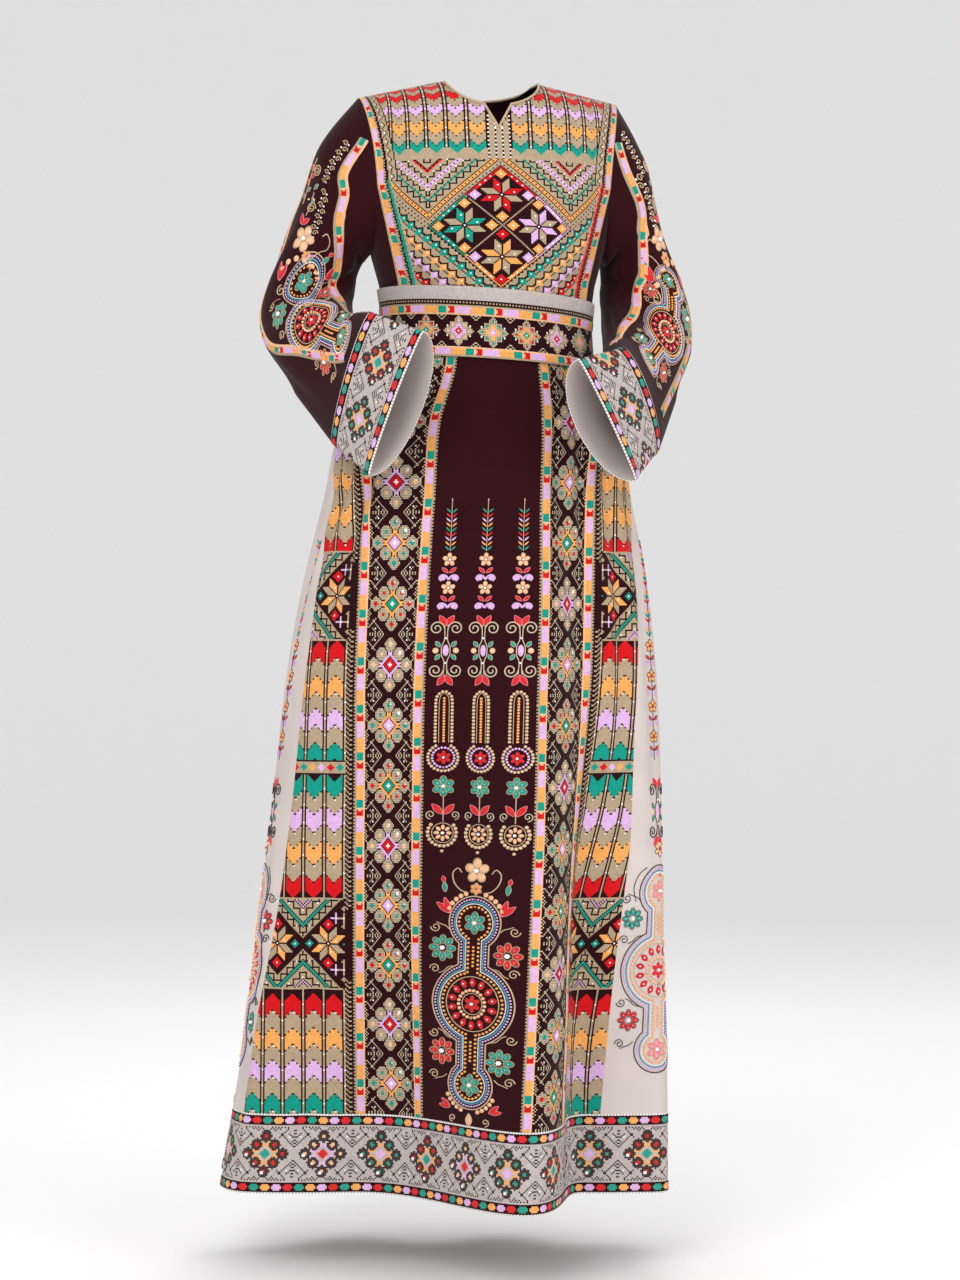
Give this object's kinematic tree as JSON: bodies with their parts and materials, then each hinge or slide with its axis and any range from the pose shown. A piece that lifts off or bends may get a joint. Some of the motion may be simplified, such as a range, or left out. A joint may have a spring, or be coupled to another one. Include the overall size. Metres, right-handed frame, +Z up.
{
  "type": "embroidered thobe dress",
  "caption": "Long worn embroidered thobe dress, hollow, with a wide belt, flared panelled skirt and bell sleeves bent forward at the elbow.",
  "frame": {"origin": "middle of the wearer's shoulders at the base of the neck, between the two shoulder seams", "axes": "+Z up the wearer's body, -Y out of the front, -X to the wearer's right"},
  "size_m": [0.5919, 0.5409, 1.3826],
  "materials": {
    "maroon_cloth": "matte woven cloth",
    "cream_cloth": "matte woven cloth with embroidery",
    "bodice_embroidery": "dense stitching on matte cloth",
    "belt_embroidery": "dense stitching on stiffened cloth",
    "skirt_embroidery": "dense stitching on matte cloth",
    "binding": "matte rolled binding"
  },
  "bodies": {
    "root": {"bodice_front": "bodice_embroidery", "bodice_back": "maroon_cloth", "bodice_side_right": "maroon_cloth", "bodice_side_left": "maroon_cloth", "neck_binding": "binding", "sleeve_right": "maroon_cloth", "sleeve_left": "maroon_cloth", "cuff_right": "cream_cloth", "cuff_left": "cream_cloth", "belt": "belt_embroidery", "skirt_front_center": "maroon_cloth", "skirt_band_right": "skirt_embroidery", "skirt_band_left": "skirt_embroidery", "skirt_feather_right": "skirt_embroidery", "skirt_feather_left": "skirt_embroidery", "skirt_gore_right": "cream_cloth", "skirt_gore_left": "cream_cloth", "skirt_back": "maroon_cloth", "hem_band_front": "cream_cloth", "hem_band_back": "cream_cloth"}
  },
  "joints": []
}
